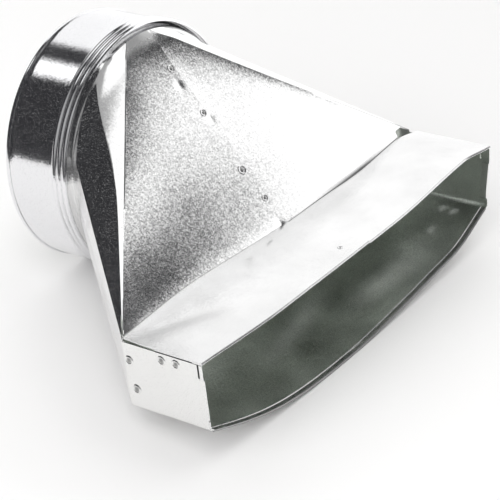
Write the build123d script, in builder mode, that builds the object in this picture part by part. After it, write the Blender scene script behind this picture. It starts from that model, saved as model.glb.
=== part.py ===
from build123d import *
import os
from math import atan2, cos, degrees, radians, sin, sqrt

# Oven flue adapter in bright galvanised sheet: a round collar, a square-to-round body and a wide
# low mouth closed by two clinched end plates. The underside has no fold: it runs straight from
# the neck to the lower lip of the mouth, which bows outwards. The adapter lies as it comes to
# rest, with the lower lip and the rim of the collar on the floor, z = 0, so that the flue axis
# falls a little from the mouth to the collar.

# Sheet and seams
sheet = 0.7
hem_width = 7.0
lap_width = 11.0
lap_fade = 34.0
seat_clearance = 0.1

# Round collar
collar_bore = 149.6
collar_length = 46.7
rim_hem = 3.0
bead_count = 3
bead_pitch = 3.8
bead_width = 3.2
bead_height = 1.1

# Neck of the body, flared out to end inside the beads
neck_diameter = 143.2
neck_bare = 1.5
neck_straight = 3.0
neck_flare = 4.5

# Square-to-round body, bent flat along creases that run from the corners of the mouth to the
# neck, with the arc of the neck that each flat takes up in degrees
transition_length = 88.0
round_length = 12.0
bend_size = 2.5
top_arc = 16.0
shoulder_arc = 16.0
panel_arc = 46.0
side_arc = 4.0

# Mouth, measured over the outside of the end plates
mouth_width = 284.0
mouth_height = 43.4
mouth_drop = 33.6
sleeve_depth = 55.0
lip_bow = 25.2

# Flaps of the body that hold the end plates, and the end plates themselves
tab_height = 10.0
tab_back = 32.0
tab_front = 3.0
side_flange = 10.0
bottom_upturn = 3.0
notch_depth = 12.0
notch_width = 6.0
plate_gap = 2.0
plate_flange = 13.0
plate_hem = 5.0
hem_relief = 2.0

# Depths behind the mouth, along the flue axis
neck_depth = sleeve_depth + transition_length
knuckle_depth = neck_depth - round_length
collar_depth = neck_depth + neck_bare
bead_end = collar_depth + bead_count * bead_pitch
rim_depth = collar_depth + collar_length
seat_depth = bead_end - bead_pitch / 2

# Radii, half widths and heights below the flue axis
bore_radius = collar_bore / 2
rim_radius = bore_radius + 2 * sheet
neck_radius = neck_diameter / 2
body_half = mouth_width / 2 - sheet
lip_corner = mouth_drop + mouth_height - sheet
lip_low = lip_corner + lip_bow
tab_low = mouth_drop + tab_height

# Place of the underside among the edges of an outline, counted clockwise from the top right
underside = 5

# Share of the way to the neck at which the creases end, and the height of the flat top there
knuckle_share = 1 - round_length / transition_length
knuckle_height = neck_radius * cos(radians(top_arc / 2)) * knuckle_share - mouth_drop * (1 - knuckle_share)

# The resting plane touches the lower lip and the bottom of the rim
tilt = atan2(lip_low - rim_radius, rim_depth)
front_reach = -lip_low * sin(tilt)
back_reach = rim_depth * cos(tilt) + rim_radius * sin(tilt)
start = Vector(0, -(front_reach + back_reach) / 2, lip_low * cos(tilt))

# Working planes through the flue axis: across the mouth, lengthwise and in plan
along = Vector(0, cos(tilt), -sin(tilt))
upward = Vector(0, sin(tilt), cos(tilt))
mouth = Plane(origin=start, x_dir=(1, 0, 0), z_dir=-along)
lengthwise = Plane(origin=start, x_dir=along, z_dir=(1, 0, 0))
plan = Plane(origin=start, x_dir=(1, 0, 0), z_dir=upward)
flue_axis = Axis(start, along)


def bow_at(depth):
    """Outward bow of the underside, which falls off in a straight line towards the neck."""
    return lip_bow - depth * (lip_low - neck_radius) / neck_depth


def mouth_stops(depth, inset):
    """Corners across the mouth, clockwise from the top right, with each top bend in three facets."""
    half = body_half - inset
    top = -mouth_drop - inset
    corner = -lip_corner + inset
    top_bend = bend_size - inset
    low_bend = bend_size - inset * (2 - sqrt(2))
    bow_radius = (half**2 + bow_at(depth) ** 2) / (2 * bow_at(depth))
    bend_low = corner - bow_at(depth) + bow_radius - sqrt(bow_radius**2 - (half - low_bend) ** 2)
    turns = [radians(turn) for turn in (90, 60, 30, 0)]
    right = [(half - top_bend * (1 - cos(turn)), top - top_bend * (1 - sin(turn))) for turn in turns]
    right += [(half, corner + low_bend), (half - low_bend, bend_low)]
    return right + [(-x, y) for x, y in reversed(right)]


def neck_turns():
    """Angles round the neck, in step with the corners across the mouth."""
    crease = 90 - top_arc / 2
    under = degrees(2 * atan2(bow_at(sleeve_depth), body_half))
    shoulder = crease - shoulder_arc
    right = [crease, shoulder, shoulder - panel_arc, side_arc / 2, -side_arc / 2, under - 90]
    return right + [-180 - turn for turn in reversed(right)]


def ring(depth, stops, bows):
    """Edges from stop to stop at a depth: arcs by way of a point in bows, and straight elsewhere."""
    edges = []
    with BuildLine(mouth.offset(-depth)):
        for number, (first, last) in enumerate(zip(stops, stops[1:] + stops[:1])):
            if number in bows:
                edges.append(ThreePointArc(first, bows[number], last))
            else:
                edges.append(Line(first, last))
    return edges


def mouth_outline(depth, inset):
    """Edges across the mouth or its sleeve, with a bowed underside."""
    return ring(depth, mouth_stops(depth, inset), {underside: (0, inset - lip_corner - bow_at(depth))})


def knuckle_outline(inset):
    """Edges where the creases end, short of the neck: flat facets above, rounded heels below."""
    reach = (neck_radius - inset) * knuckle_share
    rest = 1 - knuckle_share

    def on_the_way(x, y, turn):
        return x * rest + reach * cos(radians(turn)), y * rest + reach * sin(radians(turn))

    corners = mouth_stops(sleeve_depth, inset)
    turns = neck_turns()
    low = on_the_way(0, inset - lip_corner - bow_at(sleeve_depth), -90)
    heel_x, heel_y = corners[underside]
    heel = on_the_way(heel_x, heel_y, (turns[underside - 1] + turns[underside]) / 2)
    bows = {underside - 1: heel, underside: low, underside + 1: (-heel[0], heel[1])}
    return ring(knuckle_depth, [on_the_way(*corner, turn) for corner, turn in zip(corners, turns)], bows)


def neck_outline(inset):
    """Edges round the neck: an arc for each facet, bend and bow."""
    radius = neck_radius - inset
    stops = neck_turns()
    edges = []
    with BuildLine(mouth.offset(-neck_depth)):
        for first, last in zip(stops, stops[1:] + [stops[0] - 360]):
            turns = [radians(turn) for turn in (first, (first + last) / 2, last)]
            edges.append(ThreePointArc(*[(radius * cos(turn), radius * sin(turn)) for turn in turns]))
    return edges


def filled(front, back):
    """The solid between two outlines, with a straight-ruled face for each pair of their edges."""
    sides = [Face.make_surface_from_curves(near.edge(), far.edge()) for near, far in zip(front, back)]
    return Solid(Shell(sides + [Face(Wire(front)), Face(Wire(back))]))


def sleeve_layer(front, back, outer, inner):
    """A layer of sheet round the mouth, between two depths and two insets."""
    add(filled(mouth_outline(front, outer), mouth_outline(back, outer)))
    add(filled(mouth_outline(front, inner), mouth_outline(back, inner)), mode=Mode.SUBTRACT)


def side_window(front, back, low, high):
    """A rectangle of the side view, given by its depths and its drops below the flue axis."""
    with Locations((front, -low)):
        Rectangle(back - front, low - high, align=Align.MIN)


def lap_wedge(depth, height, edge, fade):
    """Section of the upper sheet where it rises over the lower one, up to its cut edge."""
    with BuildSketch(mouth.offset(-depth)) as section:
        with BuildLine():
            cut_edge = [(edge, height + sheet), (edge, height - sheet / 2)]
            Polyline((-fade, height - sheet / 4), *cut_edge, close=True)
        make_face()
    return section.sketch


# Collar: a rolled ring with locking beads beside the body and an outside hem at its rim
with BuildPart() as collar:
    with BuildSketch(lengthwise):
        with BuildLine():
            land = (bead_pitch - bead_width) / 2
            for bead in range(bead_count):
                bead_start = collar_depth + bead * bead_pitch
                rise = bead_start + land
                fall = rise + bead_width
                Line((bead_start, bore_radius), (rise, bore_radius))
                SagittaArc((rise, bore_radius), (fall, bore_radius), bead_height)
                Line((fall, bore_radius), (bead_start + bead_pitch, bore_radius))
            Line((bead_end, bore_radius), (rim_depth, bore_radius))
            offset(amount=sheet, side=Side.LEFT)
        make_face()
        with Locations((rim_depth - rim_hem / 2, bore_radius + 1.5 * sheet)):
            Rectangle(rim_hem, sheet)
    revolve(axis=flue_axis)
collar.part.label = "collar"

# Body: the wrapped blank, with its neck, its hemmed strips above and below the mouth, the lap
# seam down the middle of its top, and the flaps that the end plates are clinched to
with BuildPart() as body:
    for inset, mode in ((0, Mode.ADD), (sheet, Mode.SUBTRACT)):
        add(filled(mouth_outline(sleeve_depth, inset), knuckle_outline(inset)), mode=mode)
        add(filled(knuckle_outline(inset), neck_outline(inset)), mode=mode)
    with BuildSketch(lengthwise):
        with BuildLine():
            seat_radius = bore_radius - seat_clearance
            Polyline(
                (neck_depth, neck_radius),
                (neck_depth + neck_straight, neck_radius),
                (neck_depth + neck_straight + neck_flare, seat_radius),
                (seat_depth, seat_radius),
            )
            offset(amount=sheet, side=Side.RIGHT)
        make_face()
    revolve(axis=flue_axis)
    sleeve_layer(0, sleeve_depth, 0, sheet)
    sleeve_layer(0, hem_width, sheet / 2, 2 * sheet)
    # Each side wall is cut away to a tab below the top strip, a flange at the back and the bends
    with BuildSketch(lengthwise):
        side_window(0, sleeve_depth - side_flange, lip_corner - bottom_upturn, tab_low)
        side_window(0, tab_front, tab_low, mouth_drop + bend_size)
        side_window(tab_back, sleeve_depth, tab_low, mouth_drop + bend_size)
    extrude(amount=body_half, both=True, mode=Mode.SUBTRACT)
    # Clipped back corners of the top strip
    with BuildSketch(plan.offset(-mouth_drop - bend_size)):
        with BuildLine():
            Polyline(
                (body_half, sleeve_depth),
                (body_half - notch_width, sleeve_depth),
                (body_half, sleeve_depth - notch_depth),
                close=True,
            )
        make_face()
        mirror(about=Plane.YZ)
    extrude(amount=bend_size, mode=Mode.SUBTRACT)
    # Lap seam: the left sheet rises over the right one and ends in a cut edge
    strip_lap = lap_wedge(sleeve_depth, -mouth_drop, lap_width / 2, lap_fade)
    knuckle_lap = lap_wedge(knuckle_depth, knuckle_height, lap_width / 4, lap_width)
    neck_lap = lap_wedge(neck_depth, neck_radius, lap_width / 4, lap_width / 2)
    loft([strip_lap, knuckle_lap, neck_lap], ruled=True)
    extrude(strip_lap, amount=sleeve_depth)
body.part.label = "body"

# End plates: wrapped round the bends outside the body, with an inside hem along the mouth
with BuildPart() as right_end_plate:
    sleeve_layer(0, sleeve_depth, -sheet, 0)
    with BuildSketch(mouth):
        with Locations((body_half - plate_flange, -mouth_drop - plate_gap)):
            Rectangle(plate_flange + sheet, mouth_height + lip_bow, align=(Align.MIN, Align.MAX))
    extrude(amount=-sleeve_depth, mode=Mode.INTERSECT)
    with BuildSketch(mouth):
        hem_top = -tab_low - hem_relief
        hem_low = -lip_corner + bend_size + hem_relief
        with Locations((body_half - sheet / 2, (hem_top + hem_low) / 2)):
            Rectangle(sheet, hem_top - hem_low)
    extrude(amount=-plate_hem)
right_end_plate.part.label = "right_end_plate"

with BuildPart() as left_end_plate:
    mirror(right_end_plate.part, about=Plane.YZ)
left_end_plate.part.label = "left_end_plate"

os.makedirs("parts", exist_ok=True)
for piece in (collar, body, left_end_plate, right_end_plate):
    export_step(piece.part, f"parts/{piece.part.label}.step")
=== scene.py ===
from math import atan2, cos, degrees, pi, radians, sin, tan

import bmesh
import bpy
import numpy as np
from mathutils import Matrix, Vector


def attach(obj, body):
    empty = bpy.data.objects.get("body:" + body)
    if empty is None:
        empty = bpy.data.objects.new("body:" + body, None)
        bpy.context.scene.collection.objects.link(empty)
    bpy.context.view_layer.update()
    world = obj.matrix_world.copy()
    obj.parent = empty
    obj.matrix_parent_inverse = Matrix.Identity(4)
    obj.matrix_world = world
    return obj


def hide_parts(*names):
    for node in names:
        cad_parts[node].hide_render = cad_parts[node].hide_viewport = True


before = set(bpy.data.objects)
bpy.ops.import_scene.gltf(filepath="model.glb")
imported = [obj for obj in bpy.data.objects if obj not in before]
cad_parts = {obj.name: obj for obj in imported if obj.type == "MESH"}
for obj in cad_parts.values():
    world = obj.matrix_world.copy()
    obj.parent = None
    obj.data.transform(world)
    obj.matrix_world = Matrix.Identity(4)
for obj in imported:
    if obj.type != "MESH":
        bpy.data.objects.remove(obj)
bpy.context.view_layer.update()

# The adapter's four sheets are grids of points in the part's own directions, in millimetres:
# across the mouth, depth behind the mouth along the flue axis, and height above that axis.
# The function place turns them into the row's frame, in metres.

# The part's own dimensions
SHEET = 0.7  # thickness of the sheet
HALF = 141.3  # half the width of the body at the mouth
TOP = -33.6  # height of the strip above the mouth
CORNER = -76.3  # height of the mouth's lower corners
LIP_BOW = 25.2  # how far the lower lip bows out
LIP_LOW = LIP_BOW - CORNER  # how far the flue axis is above the lip's lowest point
SLEEVE = 55.0  # depth of the strips round the mouth
NECK = 143.0  # depth at which the body is round
NECK_R = 71.6
COLLAR = 144.5  # depth at which the collar begins
BORE = 74.8  # radius inside the collar
BEADS = 3
BEAD_PITCH = 3.8
BEAD_WIDTH = 3.2
BEAD_HEIGHT = 1.1
RIM = 191.2  # depth of the collar's free end
RIM_R = 76.2  # radius over its hem

# The adapter rests on its lower lip and its rim
TILT = atan2(LIP_LOW - RIM_R, RIM)
START = np.array([
    0.0,
    -(RIM * cos(TILT) + (RIM_R - LIP_LOW) * sin(TILT)) / 2,
    LIP_LOW * cos(TILT),
])
AXES = np.array([[1, 0, 0], [0, cos(TILT), -sin(TILT)], [0, sin(TILT), cos(TILT)]])

# Rings of a clinch point, from its middle out: share of its radius, share of its rise, and painted shade in
# its recess
CLINCH_RINGS = (
    (0.02, 0.8, 0.6),
    (0.2, 0.75, 0.6),
    (0.32, 0.3, 0.6),
    (0.44, 0.05, 0.45),
    (0.56, 0.15, 0.2),
    (0.68, 0.9, 0.0),
    (0.8, 1.0, 0.0),
    (0.9, 0.6, 0.0),
    (1.04, -0.5, 0.2),
)
CLINCH_SPOKES = 32
ASKEW = (0.36, 0.8, 0.48)  # a direction that is normal to none of the sheets


def place(points):
    """Points given across, in depth and in height, in the row's frame."""
    return (START + np.asarray(points, float) @ AXES) / 1000


def smooth(first, last, x):
    """Rises from 0 at the first value to 1 at the last, with a soft start and end."""
    t = np.clip((np.asarray(x, float) - first) / (last - first), 0, 1)
    return t * t * (3 - 2 * t)


def hump(x, centre, width):
    """A bell of height 1 round a centre."""
    return np.exp(-((np.asarray(x, float) - centre) / width) ** 2)


def humps(x, table):
    """Sum of humps, each given by its centre, its width and its height."""
    return sum(height * hump(x, centre, width) for centre, width, height in table)


def bow_at(depth):
    """Bow of the underside, which falls off in a straight line towards the neck."""
    return LIP_BOW - depth * (LIP_LOW - NECK_R) / NECK


def bowed(x, depth):
    """Height of the underside, an arc across the mouth."""
    bow = bow_at(depth)
    radius = (HALF**2 + bow**2) / (2 * bow)
    return CORNER - bow + radius - np.sqrt(radius**2 - np.asarray(x, float) ** 2)


def round_row(turns, radius, depth):
    """Points round the flue axis, at angles in degrees."""
    angles = np.radians(turns)
    return np.stack([radius * np.cos(angles), np.full(len(turns), depth), radius * np.sin(angles)], -1)


class Sheets:
    """Grids of points gathered into one mesh. A value at each point is 0 on clean zinc, 1 on painted shade
    and -1 on matt white zinc, which is painted highlight, and wear at a few clinch points.
    """

    def __init__(self):
        self.points = []
        self.painted_light_and_wear = []
        self.faces = []

    def grid(self, rows, around=False, flip=False, painted_light_and_wear=None):
        """Rows of points joined by quads, which go all the way around or face the other way if asked."""
        rows = np.asarray(rows, float)
        n, m = rows.shape[:2]
        base = sum(len(points) for points in self.points)
        self.points.append(rows.reshape(-1, 3))
        self.painted_light_and_wear.append(np.zeros(n * m) if painted_light_and_wear is None else np.asarray(painted_light_and_wear, float).reshape(-1))
        for i in range(n - 1):
            near = base + i * m
            far = near + m
            for j in range(m if around else m - 1):
                k = (j + 1) % m
                quad = (near + j, near + k, far + k, far + j)
                self.faces.append(quad[::-1] if flip else quad)

    def clinch(self, centre, normal, size, high=0.5):
        """A round press joint: a raised ring round a small boss."""
        normal = np.array(normal, float)
        normal /= np.linalg.norm(normal)
        first = np.cross(normal, ASKEW)
        first /= np.linalg.norm(first)
        second = np.cross(normal, first)
        turn = np.linspace(0, 2 * pi, CLINCH_SPOKES, endpoint=False)[:, None]
        spokes = first * np.cos(turn) + second * np.sin(turn)
        rows = []
        painted_light_and_wear = []
        # Each ring's last value is painted shade, darkest in the clinch's middle
        for reach, rise, ring_painted_shade in CLINCH_RINGS:
            rows.append(np.array(centre, float) + spokes * (reach * size / 2) + normal * (rise * high))
            painted_light_and_wear.append(np.full(CLINCH_SPOKES, ring_painted_shade))
        self.grid(rows, around=True, flip=True, painted_light_and_wear=painted_light_and_wear)

    def build(self, name, materials, node, thick=0.0, angle=32):
        """The piece itself: thickened where asked, smooth up to an angle, and standing for a CAD node."""
        mesh = bpy.data.meshes.new(name)
        mesh.from_pydata(place(np.concatenate(self.points)).tolist(), [], self.faces)
        mesh.attributes.new("painted_light_and_wear", "FLOAT", "POINT").data.foreach_set("value", np.concatenate(self.painted_light_and_wear))
        work = bmesh.new()
        work.from_mesh(mesh)
        bmesh.ops.remove_doubles(work, verts=work.verts, dist=2e-5)
        bmesh.ops.dissolve_degenerate(work, dist=1e-6, edges=work.edges)
        work.to_mesh(mesh)
        work.free()
        for material in materials:
            mesh.materials.append(material)
        piece = bpy.data.objects.new(name, mesh)
        bpy.context.scene.collection.objects.link(piece)
        if thick:
            solid = piece.modifiers.new("sheet", "SOLIDIFY")
            solid.thickness = thick / 1000
            solid.offset = -1
            solid.material_offset = len(materials) - 1
            graph = bpy.context.evaluated_depsgraph_get()
            piece.data = bpy.data.meshes.new_from_object(piece.evaluated_get(graph))
            piece.modifiers.clear()
        for polygon in piece.data.polygons:
            polygon.use_smooth = True
        piece.data.set_sharp_from_angle(angle=radians(angle))
        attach(piece, "root")
        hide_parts(node)


# Zinc: features to the metre, and how each shows
FLAKES_PER_METRE = 1350
SPECKLES_PER_METRE = 1500
CLOUDS_PER_METRE = 26
DENTS_PER_METRE = 45
ROLLING_PER_METRE = 60
ROLLING_STRETCH = (14, 1, 1)
# Painted shade: where a point's value is 1, the zinc takes this dark tone and this roughness
PAINTED_SHADE_TONE = (0.05, 0.05, 0.05, 1)
PAINTED_SHADE_ROUGHNESS = 0.4
DULLEST_SPECKLE = 0.72
RIPPLE_STRENGTH = 0.04
RIPPLE_DISTANCE = 0.0006


def galvanised(name, tone, rough, grain, drift):
    """Zinc with flakes tilted by a grain, fine speckles, clouds of tone, rolling lines, painted shade,
    painted highlight and wear.
    """
    material = bpy.data.materials.new(name)
    material.use_nodes = True
    nodes = material.node_tree.nodes
    links = material.node_tree.links
    shader = nodes["Principled BSDF"]
    spot = nodes.new("ShaderNodeTexCoord").outputs["Object"]
    attribute = nodes.new("ShaderNodeAttribute")
    attribute.attribute_name = "painted_light_and_wear"
    painted_light_and_wear = attribute.outputs["Fac"]

    def noise(scale, detail, roughness=0.5, source=spot):
        texture = nodes.new("ShaderNodeTexNoise")
        texture.inputs["Scale"].default_value = scale
        texture.inputs["Detail"].default_value = detail
        texture.inputs["Roughness"].default_value = roughness
        links.new(source, texture.inputs["Vector"])
        return texture.outputs["Fac"]

    def ramp(value, low, high, first, last):
        node = nodes.new("ShaderNodeMapRange")
        node.inputs["From Min"].default_value = low
        node.inputs["From Max"].default_value = high
        node.inputs["To Min"].default_value = first
        node.inputs["To Max"].default_value = last
        links.new(value, node.inputs["Value"])
        return node.outputs["Result"]

    def blend(kind, a, b):
        node = nodes.new("ShaderNodeMath")
        node.operation = kind
        links.new(a, node.inputs[0])
        links.new(b, node.inputs[1])
        return node.outputs["Value"]

    def vector_math(kind):
        node = nodes.new("ShaderNodeVectorMath")
        node.operation = kind
        return node

    stretch = nodes.new("ShaderNodeMapping")
    stretch.inputs["Scale"].default_value = ROLLING_STRETCH
    links.new(spot, stretch.inputs["Vector"])
    rolled = noise(ROLLING_PER_METRE, 2.0, source=stretch.outputs["Vector"])
    speckle = noise(SPECKLES_PER_METRE, 2.0, 0.6)
    cloud = noise(CLOUDS_PER_METRE, 3.0)

    colour = nodes.new("ShaderNodeMix")
    colour.data_type = "RGBA"
    colour.inputs["A"].default_value = (*[c * (1 - drift) for c in tone], 1)
    colour.inputs["B"].default_value = (*tone, 1)
    links.new(ramp(blend("ADD", speckle, cloud), 0.75, 1.25, 0.0, 1.0), colour.inputs["Factor"])
    # Painted shade darkens the zinc towards a near-black tone
    painted_shade_mix = nodes.new("ShaderNodeMix")
    painted_shade_mix.data_type = "RGBA"
    painted_shade_mix.inputs["B"].default_value = PAINTED_SHADE_TONE
    links.new(painted_light_and_wear, painted_shade_mix.inputs["Factor"])
    links.new(colour.outputs["Result"], painted_shade_mix.inputs["A"])
    links.new(painted_shade_mix.outputs["Result"], shader.inputs["Base Color"])

    # Where the value falls below 0 the zinc is white and matt, so it isn't metallic: painted highlight, and
    # wear at a few clinch points
    metal = ramp(speckle, 0.54, 0.74, 1.0, DULLEST_SPECKLE)
    free_of_highlight_and_wear = ramp(painted_light_and_wear, -1.0, 0.0, 0.0, 1.0)
    links.new(blend("MULTIPLY", metal, free_of_highlight_and_wear), shader.inputs["Metallic"])

    cloudy = ramp(cloud, 0.3, 0.7, rough * 0.85, rough * 1.15)
    speckled = ramp(speckle, 0.3, 0.7, -0.02, 0.03)
    dull = ramp(painted_light_and_wear, 0.0, 1.0, 0.0, PAINTED_SHADE_ROUGHNESS)
    links.new(blend("ADD", blend("ADD", cloudy, speckled), dull), shader.inputs["Roughness"])

    ripple = nodes.new("ShaderNodeBump")
    ripple.inputs["Strength"].default_value = RIPPLE_STRENGTH
    ripple.inputs["Distance"].default_value = RIPPLE_DISTANCE
    lines = ramp(rolled, 0.3, 0.7, 0.0, 0.05)
    links.new(blend("ADD", noise(DENTS_PER_METRE, 1.0), lines), ripple.inputs["Height"])
    flakes = nodes.new("ShaderNodeTexVoronoi")
    flakes.inputs["Scale"].default_value = FLAKES_PER_METRE
    links.new(spot, flakes.inputs["Vector"])
    centred = vector_math("SUBTRACT")
    centred.inputs[1].default_value = (0.5, 0.5, 0.5)
    links.new(flakes.outputs["Color"], centred.inputs[0])
    tilted = vector_math("MULTIPLY_ADD")
    tilted.inputs[1].default_value = (grain, grain, grain)
    links.new(centred.outputs["Vector"], tilted.inputs[0])
    links.new(ripple.outputs["Normal"], tilted.inputs[2])
    level = vector_math("NORMALIZE")
    links.new(tilted.outputs["Vector"], level.inputs[0])
    links.new(level.outputs["Vector"], shader.inputs["Normal"])
    return material


body_zinc = galvanised("zinc_body", (0.90, 0.90, 0.90), rough=0.14, grain=0.031, drift=0.16)
collar_zinc = galvanised("zinc_collar", (0.83, 0.83, 0.845), rough=0.12, grain=0.03, drift=0.06)
plate_zinc = galvanised("zinc_plate", (0.90, 0.90, 0.89), rough=0.20, grain=0.06, drift=0.06)
inside_zinc = galvanised("zinc_inside", (0.90, 0.945, 0.885), rough=0.32, grain=0.14, drift=0.45)

# Sloping top, from the fold behind the top strip to the neck
CREASE_TURN = 82  # angle at the neck, in degrees, of the crease that ends the top on the right
TOP_HALF = 140.5  # half its width at the fold
NECK_HALF = NECK_R * cos(radians(CREASE_TURN))
FLAT_TOP = NECK_R * sin(radians(CREASE_TURN))
SLOPE = np.array([0.0, NECK - SLEEVE, FLAT_TOP - TOP])
SLOPE_LENGTH = np.linalg.norm(SLOPE)
SLOPE /= SLOPE_LENGTH
TOP_NORMAL = np.array([0.0, -SLOPE[2], SLOPE[1]])
TOP_SAG = 1.05
RIDGE_SLOPE = 0.103
PRESSED = 0.95

# Lap seam: the cut edge of the left sheet, and how far it lies above the right one
LAP_EDGE = 8.5
LAP_RISE = 0.7

# Top strip: how far its free edge bulges and its right corner flares out, and what dips
EDGE_BULGE = 5.0
CORNER_FLARE = 4.5
STRIP_SAG = 0.9
CREASE_DIP = 0.22
CORNER_DIP = 0.4
FOLD_DIP = 0.36
FOLD_DIP_WIDTH = 8

# How much is clipped off the back corners of the top strip
LEFT_CLIP = 0.8
RIGHT_CLIP = 14.0

# Where the fold strays up or down the sloping top, and the lower lip from its arc: across, width
# and distance
FOLD_STRAYS = ((-85, 40, 2.0), (15, 48, -2.4), (82, 36, -2.7))
LIP_STRAYS = ((40, 35, 1.5), (108, 20, -2.6), (-82, 52, -3.3))

# Dents of the sloping top: across, share of the way to the neck, depth and width
DENTS = ((3.3, 0.731, 0.2, 2.4), (8.0, 0.54, 0.13, 2.6), (2.6, 0.005, 0.4, 2.0))

# Clinch points of the seam: across, share of the way to the neck, and size
SEAM_CLINCHES = ((5.7, 0.808, 5.6), (5.6, 0.579, 5.0), (3.8, 0.289, 6.4), (5.2, 0.138, 4.8))

# Flat facets of the sides, by their first and last angle at the neck. The boundary between the
# left shoulder and the left panel turns towards the panel on its way to the neck
SHOULDER_EDGE = -251
SHOULDER_SPREAD = 15
FACETS = (
    (-180 - CREASE_TURN, SHOULDER_EDGE),
    (SHOULDER_EDGE, -200),
    (-200, -179),
    (70, CREASE_TURN),
    (20, 70),
    (-1, 20),
)

# Rows of the neck's flared end inside the collar: depth, and the share of the flare on the left,
# where it closes up to the collar, and elsewhere
NECK_GAP = 0.15  # between the flared end and the collar
NECK_ROWS = (
    (143.6, 0.2, 0.0),
    (144.2, 0.6, 0.0),
    (144.8, 1.0, 0.0),
    (146.0, 1.0, 0.0),
    (148.0, 1.0, 0.4),
    (150.5, 1.0, 1.0),
    (154.0, 1.0, 1.0),
)

# Inside hem of the lower lip, with a bead along its edge: depth and rise
LIP_HEM = (
    (1.5, 1.4),
    (2.4, 1.4),
    (3.2, 1.4),
    (3.4, 1.55),
    (3.6, 1.7),
    (3.8, 1.72),
    (3.95, 1.6),
    (4.1, 1.3),
)

# Matt white marks inside the lower strip: two broad streaks of painted highlight, then three worn spots by
# the clinch points. Across, depth, width across, width in depth, turn, strength
HIGHLIGHTS_AND_WEAR = (
    (62, 23, 28, 7, -0.05, 0.5),
    (-12, 40, 36, 6, 0.2, 0.4),
    (131, 27, 2.5, 2.2, 0, 1.0),
    (131, 19, 2.2, 2.0, 0, 0.9),
    (112, 24, 3.0, 2.0, 0, 0.6),
)

# Painted shade on the edges, creases and folds of the body, in the notch and beside the collar
STRIP_NOSE_PAINTED_SHADE = 0.2
LEFT_CREASE_PAINTED_SHADE = 0.16
LEFT_CORNER_PAINTED_SHADE = 0.05
RIGHT_CREASE_PAINTED_SHADE = 0.5
TIP_PAINTED_SHADE = 0.4
NOTCH_PAINTED_SHADE = 0.6
WIDE_FOLD_PAINTED_SHADE = 0.9
LIP_HEM_PAINTED_SHADE = 0.35
LIP_NOSE_PAINTED_SHADE = 0.65


def lap_rise(x, half):
    """Rise of the left sheet, which laps over the right one at the seam."""
    return np.where(x < LAP_EDGE, LAP_RISE * (x + half) / (LAP_EDGE + half), 0.0)


def fold_dip(x, distance):
    """The sheet dips just before the fold, left of the seam."""
    near = np.clip(1 - distance / FOLD_DIP_WIDTH, 0, 1) ** 2
    return FOLD_DIP * near * smooth(-140, -112, x) * smooth(20, 0, x)


def behind_crease(x, depth):
    """How far a point of the top strip is behind the crease across its left corner."""
    return depth - (51 - 0.5 * (x + HALF))


def strip_points(x, depth):
    """Top strip: it follows the fold at the back, and its free edge bulges and sags in the middle."""
    x = np.asarray(x, float)
    stray = humps(x, FOLD_STRAYS) * np.clip(depth / SLEEVE, 0, 1)
    bulge = EDGE_BULGE * smooth(42, 0, depth) * smooth(-152, -75, x) * smooth(130, 35, x)
    bulge += CORNER_FLARE * smooth(22, 0, depth) * smooth(118, 143, x)
    behind = behind_crease(x, depth)
    sag = STRIP_SAG * smooth(SLEEVE, 0, depth) * hump(x, 0, 80)
    sag += CREASE_DIP * hump(behind, -2, 6) * smooth(-75, -125, x)
    sag += CORNER_DIP * smooth(0, -30, behind) * smooth(-85, -125, x)
    height = TOP + lap_rise(x, HALF) - sag + stray * SLOPE[2]
    points = np.stack([x, depth - bulge + stray * SLOPE[1], height], -1)
    dip = np.asarray(fold_dip(x, 0.0) * smooth(47, SLEEVE, depth))
    return points - TOP_NORMAL * dip[..., None]


def pressed_at(v):
    """How flat the body is pressed between its creases: nearly fully, and not at all at the neck."""
    return PRESSED * smooth(1.0, 0.9, v)


def chord(turn, first, last):
    """Radius of the chord across an arc of the neck, as a share of the arc's own."""
    return cos(radians((last - first) / 2)) / np.cos(np.radians(turn - (first + last) / 2))


def neck_x(x):
    """Where a line up the sloping top meets the neck. The seam's edge runs straight up."""
    return np.interp(x, (-TOP_HALF, LAP_EDGE, TOP_HALF), (-NECK_HALF, LAP_EDGE, NECK_HALF))


def top_points(x, v):
    """Sloping top at a share v of the way to the neck, with x measured along the fold."""
    x = np.asarray(x, float)
    v = np.asarray(v, float)
    stray = humps(x, FOLD_STRAYS)
    front = np.stack([x, SLEEVE + stray * SLOPE[1], TOP + stray * SLOPE[2]], -1)
    end = neck_x(x)
    height = np.sqrt(NECK_R**2 - end**2)
    height += pressed_at(v) * (FLAT_TOP - height)
    back = np.stack([end, np.full(x.shape, NECK), height], -1)
    here = x * (1 - v) + end * v
    half = TOP_HALF * (1 - v) + NECK_HALF * v
    # The sheet turns up to a ridge along the right crease, which widens towards the neck
    ridge_width = 2 + 26 * v**3
    ridge = RIDGE_SLOPE * ridge_width * np.exp((here - half) / ridge_width) * smooth(0.0, 0.3, v)
    sag = TOP_SAG * smooth(60, -140, x) * (np.sin(2 * pi * v) + 0.54 * np.sin(3 * pi * v))
    rise = (ridge + lap_rise(x, TOP_HALF)) * smooth(1.0, 0.9, v)
    rise = rise - sag - fold_dip(x, v * SLOPE_LENGTH)
    for dent_x, dent_v, deep, wide in DENTS:
        away = (here - dent_x) ** 2 + (SLOPE_LENGTH * (v - dent_v)) ** 2
        rise = rise - deep * np.exp(-away / wide**2)
    return front * (1 - v[..., None]) + back * v[..., None] + TOP_NORMAL * rise[..., None]


# Columns of the top strip, with two close together where the seam's cut edge makes a step
step = LAP_EDGE / HALF
across = np.sort(np.append(np.linspace(-1, 1, 162), (step - 1e-4, step + 1e-4)))
strip_x = across * HALF
# Painted shade along the fold behind the top strip, stronger towards the right
fold_painted_shade = 0.55 + 0.3 * smooth(10, 60, strip_x)


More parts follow.
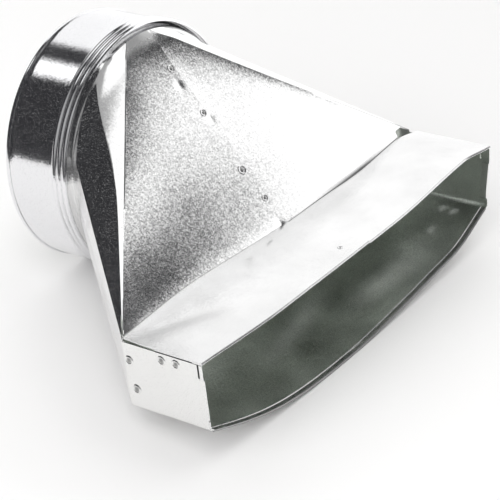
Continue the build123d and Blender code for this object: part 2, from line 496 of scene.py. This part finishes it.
def strip_row(depth, lower=0.0):
    """A row of the top strip, which is clipped at its back corners."""
    left = LEFT_CLIP * np.clip((depth - 43) / 12, 0, 1) * smooth(-0.5, -1.0, across)
    right = RIGHT_CLIP * np.clip((depth - 49) / 6, 0, 1) * smooth(0.5, 1.0, across)
    return strip_points(strip_x + left - right, depth) - (0, 0, lower)


def nose_rows(row_at):
    """Rows round the folded edge of a hem, from the outside of the sheet to its inside."""
    return [row_at(SHEET * (1 - sin(t)), SHEET * (1 - cos(t))) for t in np.linspace(0, pi, 7)]


def add_top_strip(body):
    """The strip above the mouth with its inside hem. Painted shade darkens its left crease and corner, its
    folded edge and the fold.
    """
    depths = np.concatenate([np.linspace(1.5, 7, 8), np.linspace(9, 53, 23), [54.3, SLEEVE]])
    nose = nose_rows(strip_row)
    hem = [strip_row(depth, 2 * SHEET) for depth in np.linspace(1.5, 7, 5)]
    rows = [*hem[::-1], *nose[::-1], *[strip_row(depth) for depth in depths]]
    painted_light_and_wear = np.zeros((len(rows), len(across)))
    painted_light_and_wear[len(hem):len(hem) + len(nose)] = STRIP_NOSE_PAINTED_SHADE
    # Painted shade in the left crease and on the facet behind it
    for row, depth in enumerate(depths, len(hem) + len(nose)):
        behind = behind_crease(strip_x, depth)
        painted_light_and_wear[row] = LEFT_CREASE_PAINTED_SHADE * hump(behind, -3, 4) * smooth(-80, -115, strip_x)
        painted_light_and_wear[row] += LEFT_CORNER_PAINTED_SHADE * smooth(0, -8, behind) * smooth(-75, -105, strip_x)
    painted_light_and_wear[-1] = fold_painted_shade
    body.grid(rows, painted_light_and_wear=painted_light_and_wear)


def side_outline():
    """Points round the back of the sleeve below its top, clockwise, and their angles at the neck."""
    bend = 0.8
    inner = HALF - bend
    foot = float(bowed(inner, SLEEVE))
    low = 2 * degrees(atan2(bow_at(SLEEVE), HALF))
    underside = 3  # number of the stretch that is bowed
    stretches = [
        ((inner, TOP), (HALF, TOP - bend), CREASE_TURN, 2, 40),
        ((HALF, TOP - bend), (HALF, CORNER + bend), 2, -2, 10),
        ((HALF, CORNER + bend), (inner, foot), -2, low - 90, 24),
        ((inner, foot), (-inner, foot), low - 90, -90 - low, 90),
        ((-inner, foot), (-HALF, CORNER + bend), -90 - low, -178, 24),
        ((-HALF, CORNER + bend), (-HALF, TOP - bend), -178, -182, 10),
        ((-HALF, TOP - bend), (-inner, TOP), -182, -180 - CREASE_TURN, 150),
    ]
    points = []
    turns = []
    for number, (first, last, begin, end, count) in enumerate(stretches):
        t = np.linspace(0, 1, count, endpoint=False)
        x = first[0] + (last[0] - first[0]) * t
        height = first[1] + (last[1] - first[1]) * t
        if number == underside:
            height = bowed(x, SLEEVE)
        points.append(np.stack([x, np.full(count, SLEEVE), height], -1))
        turns.append(begin + (end - begin) * t)
    return np.concatenate(points), np.concatenate(turns)


def side_row(front, turns, v):
    """Sides and underside at a share v of the way to the neck, pressed flat between their creases."""
    radius = np.full(len(turns), NECK_R)
    spread = SHOULDER_SPREAD * smooth(0.4, 0.95, v)
    for facet in FACETS:
        first, last = [turn + spread if turn == SHOULDER_EDGE else turn for turn in facet]
        held = (turns >= first) & (turns <= last)
        radius[held] *= 1 + pressed_at(v) * (chord(turns[held], first, last) - 1)
    return front * (1 - v) + round_row(turns, radius, NECK) * v


# Columns of the transition at the two ends of the fold, beyond the strip's own
LEFT_OF_STRIP = (-TOP_HALF, -140.0)
RIGHT_OF_STRIP = np.linspace(128.5, 139.5, 8)
# The notch at the right end, as a share of the way to the neck, and the part of the right side
# that shows in it, from the crease and from the front
NOTCH_SHARE = 0.03
NOTCH_COLUMNS = 44
NOTCH_ROWS = 5


def add_transition(body):
    """Straight rulings from the outline behind the strips to the neck, and the neck's flared end."""
    fold = np.concatenate([LEFT_OF_STRIP, strip_row(SLEEVE)[:, 0], RIGHT_OF_STRIP])
    top_end = len(fold)
    strip_part = slice(len(LEFT_OF_STRIP), top_end - len(RIGHT_OF_STRIP))
    front, side_turns = side_outline()
    # Rows lie close together at the fold and at the dents
    by_dents = [np.linspace(0.525, 0.555, 4), np.linspace(0.716, 0.746, 4)]
    shares = np.sort(np.concatenate([[0, 0.005, 0.01], np.linspace(0.02, 1, 48), *by_dents]))
    # The top starts a little way up at its right end, which leaves an open notch there
    notch = NOTCH_SHARE * smooth(127, 134, fold)
    rows = []
    for v in shares:
        rows.append(np.concatenate([top_points(fold, v + (1 - v) * notch), side_row(front, side_turns, v)]))
    top_turns = 90 - np.degrees(np.arcsin(neck_x(fold) / NECK_R))
    turns = np.concatenate([top_turns, side_turns])
    tight = smooth(105, 130, turns % 360) * smooth(285, 260, turns % 360)
    flare = BORE - NECK_GAP - NECK_R
    for depth, close, loose in NECK_ROWS:
        rows.append(round_row(turns, NECK_R + flare * (loose + (close - loose) * tight), depth))

    # Painted shade along the right crease, at the tip beside the collar, in the notch and along the fold
    painted_light_and_wear = np.zeros((len(rows), len(turns)))
    for row, v in enumerate(shares):
        painted_light_and_wear[row, top_end] = RIGHT_CREASE_PAINTED_SHADE
        painted_light_and_wear[row, :top_end] = TIP_PAINTED_SHADE * smooth(0.92, 0.98, v) * smooth(60, 20, fold)
    painted_light_and_wear[:NOTCH_ROWS, top_end:top_end + NOTCH_COLUMNS] = NOTCH_PAINTED_SHADE
    wide_painted_shade = WIDE_FOLD_PAINTED_SHADE * hump(strip_x, 84, 30)
    painted_light_and_wear[0, strip_part] = np.maximum(fold_painted_shade, wide_painted_shade)
    painted_light_and_wear[1, strip_part] = 0.9 * wide_painted_shade
    painted_light_and_wear[2, strip_part] = 0.5 * wide_painted_shade
    body.grid(rows, around=True, painted_light_and_wear=painted_light_and_wear)


def add_seam_clinches(body):
    """Clinch points down the lap seam, and a smaller one near the edge of the top strip."""
    along = np.linspace(-TOP_HALF, LAP_EDGE, 2000)
    for x, v, size in SEAM_CLINCHES:
        # The line along the fold that passes through x on its way to the neck
        line = np.interp(x, along * (1 - v) + neck_x(along) * v, along)
        body.clinch(top_points(line, v) - TOP_NORMAL * 0.05, TOP_NORMAL, size)
    body.clinch(strip_points(-5.1, 10.6) - (0, 0, 0.15), (0, 0, 1), size=3.8, high=0.35)


# The lower strip ends where the bends below the end plates begin
FOOT_WIDTH = 2.5
lip_x = np.linspace(-1, 1, 121) * (HALF - FOOT_WIDTH)


def lip_row(depth, raised=0.0):
    """A row of the strip below the mouth, which strays from its arc but not into the floor."""
    stray = humps(lip_x, LIP_STRAYS) * smooth(45, 0, depth)
    floor_height = depth * tan(TILT) - LIP_LOW
    height = np.maximum(bowed(lip_x, depth) + stray, floor_height) + raised
    return np.stack([lip_x, np.full(len(lip_x), depth), height], -1)


def add_lower_strip(body):
    """The strip below the mouth with its bowed lip and its inside hem, painted shade on the hem and its
    folded edge, and painted highlights and worn spots inside.
    """
    depths = np.linspace(1.5, SLEEVE, 28)
    nose = nose_rows(lip_row)
    hem = [lip_row(depth, raised) for depth, raised in LIP_HEM]
    rows = [*hem[::-1], *nose[::-1], *[lip_row(depth) for depth in depths]]
    painted_light_and_wear = np.zeros((len(rows), len(lip_x)))
    # Painted shade on the hem and its folded edge
    painted_light_and_wear[:len(hem)] = LIP_HEM_PAINTED_SHADE
    painted_light_and_wear[len(hem):len(hem) + len(nose)] = LIP_NOSE_PAINTED_SHADE
    for row, depth in enumerate(depths, len(hem) + len(nose)):
        # Below 0 the zinc turns matt white: painted highlight on the streaks, and wear at the clinch spots
        for x, middle, wide, deep, turn, strength in HIGHLIGHTS_AND_WEAR:
            turned = depth - turn * (lip_x - x)
            painted_light_and_wear[row] -= strength * hump(lip_x, x, wide) * hump(turned, middle, deep)
    body.grid(rows, flip=True, painted_light_and_wear=painted_light_and_wear)


def upright(x, depths, heights):
    """A flat flap at one side of the mouth."""
    return [[(x, depth, height) for height in heights] for depth in depths]


def add_flaps(body, side):
    """The bend below an end plate, with a painted highlight of matt white zinc along its inside, and the
    flaps that hold the plate.
    """
    # Points round the bend: how far in from the side, height above the corner, and painted highlight, where
    # the zinc turns matt white
    bend = ((0.7, 0.4, -1.0), (0.3, 1.2, -0.5), (0.0, 2.5, 0.0), (0.0, 5.5, 0.0))
    rows = []
    painted_light_and_wear = []
    for depth in np.linspace(0, SLEEVE, 12):
        start = (side * (HALF - FOOT_WIDTH), depth, float(bowed(HALF - FOOT_WIDTH, depth)))
        rows.append([start, *[(side * (HALF - inset), depth, CORNER + rise) for inset, rise, _ in bend]])
        painted_light_and_wear.append(np.array([0, *[bend_painted_highlight for _, _, bend_painted_highlight in bend]]) * smooth(2, 14, depth))
    body.grid(rows, flip=side > 0, painted_light_and_wear=painted_light_and_wear)
    flange = upright(side * HALF, np.linspace(45, SLEEVE, 4), np.linspace(CORNER + 2.5, TOP - 10, 6))
    body.grid(flange, flip=side > 0)
    tab = upright(side * (HALF - 0.3), np.linspace(3, 32, 8), np.linspace(TOP - 10, TOP - 0.8, 6))
    body.grid(tab, flip=side > 0)


def make_body():
    body = Sheets()
    add_top_strip(body)
    add_transition(body)
    add_seam_clinches(body)
    add_lower_strip(body)
    add_flaps(body, -1)
    add_flaps(body, 1)
    body.build("body_sheet", [body_zinc, inside_zinc], "body", SHEET)


def make_collar():
    """A ring with three beads beside the body and an outside hem at its rim."""
    profile = []
    for bead in range(BEADS):
        begin = COLLAR + bead * BEAD_PITCH + (BEAD_PITCH - BEAD_WIDTH) / 2
        for t in np.linspace(0, 1, 13):
            profile.append((begin + BEAD_WIDTH * t, BEAD_HEIGHT * sin(pi * t) ** 0.8))
    profile += [(depth, 0.0) for depth in np.linspace(157, RIM - 3.4, 12)]
    outside = BORE + SHEET
    outer = [(depth, outside + rise) for depth, rise in profile]
    outer += [(RIM - 3.0, outside + 0.15), (RIM - 2.9, outside + 0.55), (RIM - 2.6, RIM_R)]
    outer += [(RIM - 0.9, RIM_R), (RIM - 0.35, RIM_R - 0.2), (RIM, outside), (RIM - 0.25, BORE + 0.15)]
    inner = [(RIM - 0.9, BORE), *[(depth, BORE + rise) for depth, rise in reversed(profile)]]
    turns = np.linspace(0, 360, 256, endpoint=False)
    collar = Sheets()
    rows = [round_row(turns, radius, depth) for depth, radius in [*outer, *inner, outer[0]]]
    collar.grid(rows, around=True, flip=True)
    collar.build("collar_ring", [collar_zinc], "collar", angle=40)


# End plates: outside of the sheet, and its bend at the foot
PLATE_SKIN = HALF + 0.1
PLATE_BEND_IN = 2.2
PLATE_BEND_DOWN = 2.6
PLATE_LEAN = 4.3
OVER_TAB = 0.12  # how far a plate is raised over the body's tab
# Painted shade behind the notch, at the top back corner of the right plate
RIGHT_PLATE_PAINTED_SHADE = 0.45

# Clinch points of an end plate, by depth and height
PLATE_CLINCHES = ((51.6, -46.4), (49.1, -64.0), (28.2, -40.0), (18.2, -39.6))
PLATE_CLINCH_SIZE = 6.0

# Slit above the mouth's corner: its front, its back, its lower end and the rows about it
SLIT_FRONT = 2.4
SLIT_BACK = 3.6
SLIT_LOW = TOP - 10.5
SLIT_ROWS = (0.7, 1.6, 2.3, 2.5, 3.0, 3.5, 3.7, 4.4, 5.0)
PLATE_HEM_ROWS = (0.7, 2.0, 3.5, 5.0)


def leaning(side, x, depth, height):
    """A point of an end plate. The right one leans forward at its top front corner."""
    if side > 0:
        depth = depth - PLATE_LEAN * smooth(-77, -35, height) * smooth(28, 0, depth)
    return side * x, depth, height


def plate_path(depth):
    """Down the outside of an end plate, round its bend and in under the mouth's corner."""
    path = [(PLATE_SKIN, height) for height in np.linspace(TOP - 2.0, CORNER + 2.0, 40)]
    for t in np.linspace(0.2, pi / 2, 7):
        x = PLATE_SKIN - PLATE_BEND_IN * (1 - cos(t))
        path.append((x, CORNER + 2.0 - PLATE_BEND_DOWN * sin(t)))
    for x in PLATE_SKIN - PLATE_BEND_IN - np.linspace(1.5, 11.0, 6):
        path.append((x, float(bowed(x, depth)) - SHEET))
    return path


def plate_painted_shade(side, depth, height):
    """Painted shade in the slit above the mouth's left corner, and behind the notch on the right."""
    if side < 0:
        return float(height > SLIT_LOW and SLIT_FRONT < depth < SLIT_BACK)
    return RIGHT_PLATE_PAINTED_SHADE * smooth(49, 53, depth) * smooth(TOP - 9, TOP - 4, height)


def make_plate(name, side):
    """An end plate, raised a little over the body's tab, with an inside hem along the mouth."""
    plate = Sheets()
    rows = []
    painted_light_and_wear = []
    for depth in np.concatenate([SLIT_ROWS, np.linspace(7, SLEEVE, 33)]):
        row = []
        for x, height in plate_path(depth):
            raised = OVER_TAB * smooth(TOP - 12.5, TOP - 10.5, height) * smooth(34, 31.5, depth)
            row.append(leaning(side, x + raised, depth, height))
            painted_light_and_wear.append(plate_painted_shade(side, depth, height))
        rows.append(row)
    plate.grid(rows, flip=side < 0, painted_light_and_wear=painted_light_and_wear)
    hem_x = PLATE_SKIN - 2 * SHEET - 0.05
    hem_heights = np.linspace(TOP - 12, CORNER + 6, 16)
    hem = []
    for depth in PLATE_HEM_ROWS:
        hem.append([leaning(side, hem_x, depth, height) for height in hem_heights])
    plate.grid(hem, flip=side > 0)
    for depth, height in PLATE_CLINCHES:
        plate.clinch((side * (PLATE_SKIN + 0.1), depth, height), (side, 0, 0), PLATE_CLINCH_SIZE, 0.46)
    plate.build(f"{name}_plate", [plate_zinc, inside_zinc], f"{name}_end_plate", SHEET)


make_body()
make_collar()
make_plate("left", -1)
make_plate("right", 1)

# Floor: a disc of pale paper
FLOOR_RADIUS = 0.65
FLOOR_CORNERS = 96
turns = np.linspace(0, 2 * pi, FLOOR_CORNERS, endpoint=False)
edge = [(FLOOR_RADIUS * cos(turn), FLOOR_RADIUS * sin(turn), 0) for turn in turns]
floor_mesh = bpy.data.meshes.new("floor")
floor_mesh.from_pydata(edge, [], [tuple(range(FLOOR_CORNERS))])
floor = bpy.data.objects.new("floor", floor_mesh)
bpy.context.scene.collection.objects.link(floor)
paper = bpy.data.materials.new("paper")
paper.use_nodes = True
paper_shader = paper.node_tree.nodes["Principled BSDF"]
paper_shader.inputs["Base Color"].default_value = (0.93, 0.925, 0.92, 1)
paper_shader.inputs["Roughness"].default_value = 0.9
floor_mesh.materials.append(paper)

# Studio: soft bright surfaces in dark surroundings, which the zinc mirrors. The camera itself
# sees plain white beyond the floor
world = bpy.data.worlds.new("studio")
bpy.context.scene.world = world
world.use_nodes = True
sky = world.node_tree.nodes
sky_links = world.node_tree.links
heading = sky.new("ShaderNodeTexCoord").outputs["Generated"]


def soft_side(facing, low, high, level=1.0):
    """Rises from 0 to a level where the heading's share of a direction goes from low to high."""
    share = sky.new("ShaderNodeVectorMath")
    share.operation = "DOT_PRODUCT"
    share.inputs[1].default_value = facing
    sky_links.new(heading, share.inputs[0])
    rise = sky.new("ShaderNodeMapRange")
    rise.interpolation_type = "SMOOTHSTEP"
    rise.inputs["From Min"].default_value = low
    rise.inputs["From Max"].default_value = high
    rise.inputs["To Max"].default_value = level
    sky_links.new(share.outputs["Value"], rise.inputs["Value"])
    return rise.outputs["Result"]


def panel(azimuth, elevation, radius, blur, level):
    """A round soft light in the surroundings, with a blurred edge, in degrees."""
    a = radians(azimuth)
    e = radians(elevation)
    facing = (cos(e) * cos(a), cos(e) * sin(a), sin(e))
    return soft_side(facing, cos(radians(radius + blur)), cos(radians(radius - blur)), level)


def joined(kind, *values):
    total = values[0]
    for value in values[1:]:
        node = sky.new("ShaderNodeMath")
        node.operation = kind
        sky_links.new(total, node.inputs[0])
        sky_links.new(value, node.inputs[1])
        total = node.outputs["Value"]
    return total


# A bright wall on the right: its far end has a level upper edge, and its near end a slanting one
far_end = joined(
    "MULTIPLY",
    soft_side((0, 0.147, -1), -0.674, -0.636, 1.17),
    soft_side((-0.174, 0.985, 0), -0.1, 0.1),
)
near_end = joined(
    "MULTIPLY",
    soft_side((0.7103, 0.1336, -0.6911), -0.05, 0.05, 1.5),
    soft_side((0.174, -0.985, 0), -0.1, 0.1),
)
wall = joined(
    "MULTIPLY",
    joined("ADD", near_end, far_end),
    soft_side((0.951, -0.309, 0), -0.05, 0.05),
    soft_side((0.766, 0.643, 0), -0.05, 0.05),
)
softbox = panel(-45, 66, 15, 4, 1.3)
back_lamp = panel(99.5, 40.4, 5.4, 3.4, 1.7)
left_fill = panel(217, 30, 24, 14, 0.45)
ceiling = panel(0, 90, 18, 8, 0.4)
tint = sky.new("ShaderNodeMix")
tint.data_type = "RGBA"
tint.clamp_factor = False
tint.inputs["A"].default_value = (0.03, 0.03, 0.033, 1)
tint.inputs["B"].default_value = (1, 1, 1, 1)
sky_links.new(joined("MAXIMUM", wall, softbox, back_lamp, left_fill, ceiling), tint.inputs["Factor"])
sky_links.new(tint.outputs["Result"], sky["Background"].inputs["Color"])
plain = sky.new("ShaderNodeBackground")
plain.inputs["Color"].default_value = (1, 1, 1, 1)
seen = sky.new("ShaderNodeMixShader")
sky_links.new(sky.new("ShaderNodeLightPath").outputs["Is Camera Ray"], seen.inputs["Fac"])
sky_links.new(sky["Background"].outputs["Background"], seen.inputs[1])
sky_links.new(plain.outputs["Background"], seen.inputs[2])
sky_links.new(seen.outputs["Shader"], sky["World Output"].inputs["Surface"])

# Two wide lamps light the floor and the dull surfaces, and the zinc doesn't mirror them
LAMP_DISTANCE = 2.6
LAMP_SIZE = 3.6
AIM = Vector((0, 0, 0.07))


def lamp(name, azimuth, elevation, watts):
    data = bpy.data.lights.new(name, "AREA")
    data.shape = "ELLIPSE"
    data.size = LAMP_SIZE
    data.size_y = LAMP_SIZE
    data.energy = watts
    lamp_object = bpy.data.objects.new(name, data)
    bpy.context.scene.collection.objects.link(lamp_object)
    a = radians(azimuth)
    e = radians(elevation)
    outward = Vector((cos(e) * cos(a), cos(e) * sin(a), sin(e)))
    lamp_object.location = AIM + LAMP_DISTANCE * outward
    lamp_object.rotation_euler = (-outward).to_track_quat("-Z", "Y").to_euler()
    lamp_object.visible_glossy = False


lamp("overhead", 45, 66, 25)
lamp("fill", 190, 42, 73)

# Camera at the photograph's viewpoint, with its focal length in pixels of the photograph
FOCAL_PIXELS = 2094.66
IMAGE_PIXELS = 500
eye = Vector((-0.835069, -0.645854, 0.711441))
right = Vector((0.59691067, -0.8023072, -0.00090356))
down = Vector((-0.43726223, -0.32437523, -0.83879822))
ahead = Vector((0.67268075, 0.50108269, -0.54444167))
camera_data = bpy.data.cameras.new("camera")
camera_data.sensor_width = 36.0
camera_data.lens = camera_data.sensor_width * FOCAL_PIXELS / IMAGE_PIXELS
camera = bpy.data.objects.new("camera", camera_data)
bpy.context.scene.collection.objects.link(camera)
camera.matrix_world = Matrix((
    (right.x, -down.x, -ahead.x, eye.x),
    (right.y, -down.y, -ahead.y, eye.y),
    (right.z, -down.z, -ahead.z, eye.z),
    (0, 0, 0, 1),
))
bpy.context.scene.camera = camera
bpy.context.scene.view_settings.view_transform = "Standard"
